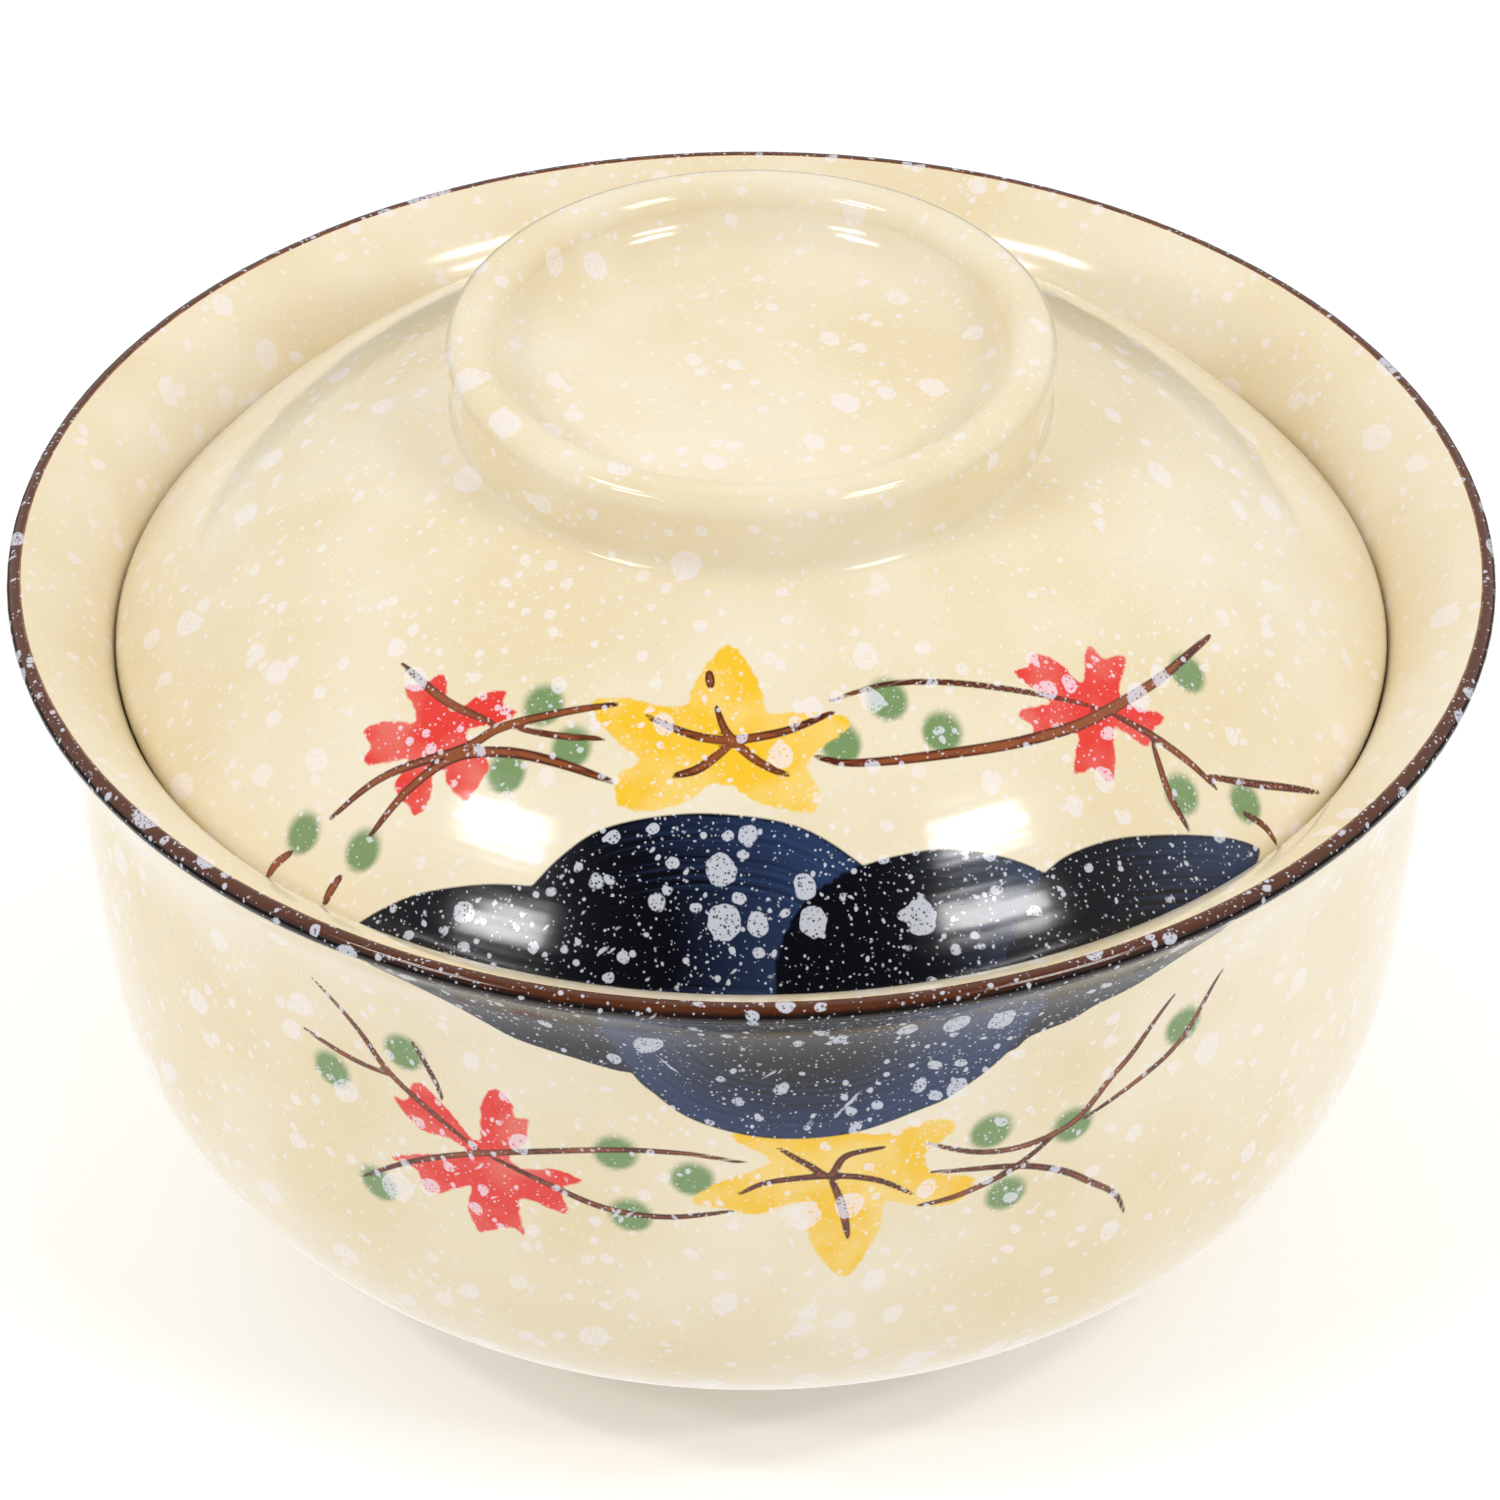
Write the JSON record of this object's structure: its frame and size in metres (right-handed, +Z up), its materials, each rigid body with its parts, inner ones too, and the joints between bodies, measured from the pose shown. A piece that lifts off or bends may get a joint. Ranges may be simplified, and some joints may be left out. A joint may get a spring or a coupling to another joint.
{
  "type": "lidded bowl",
  "caption": "Lidded donburi bowl in glazed stoneware: flared brown rim, rounded belly on a foot ring, domed lid with a ring knob seated in the flare.",
  "frame": {"origin": "centre of the foot ring's standing plane", "axes": "+Z up along the bowl's axis of revolution, -Y towards the painted front, +X to the right as seen from the front"},
  "size_m": [0.18, 0.18, 0.1237],
  "materials": {
    "bowl_glaze": "gloss",
    "lid_glaze": "gloss",
    "lip_glaze": "gloss"
  },
  "bodies": {
    "bowl": {"bowl": "bowl_glaze", "lip_glaze_band": "lip_glaze"},
    "lid": {"lid": "lid_glaze"}
  },
  "joints": [
    {"name": "lid_lift", "type": "slide", "parent": "bowl", "child": "lid", "axis": [0, 0, 1], "range_m": [0, 0.06]}
  ]
}
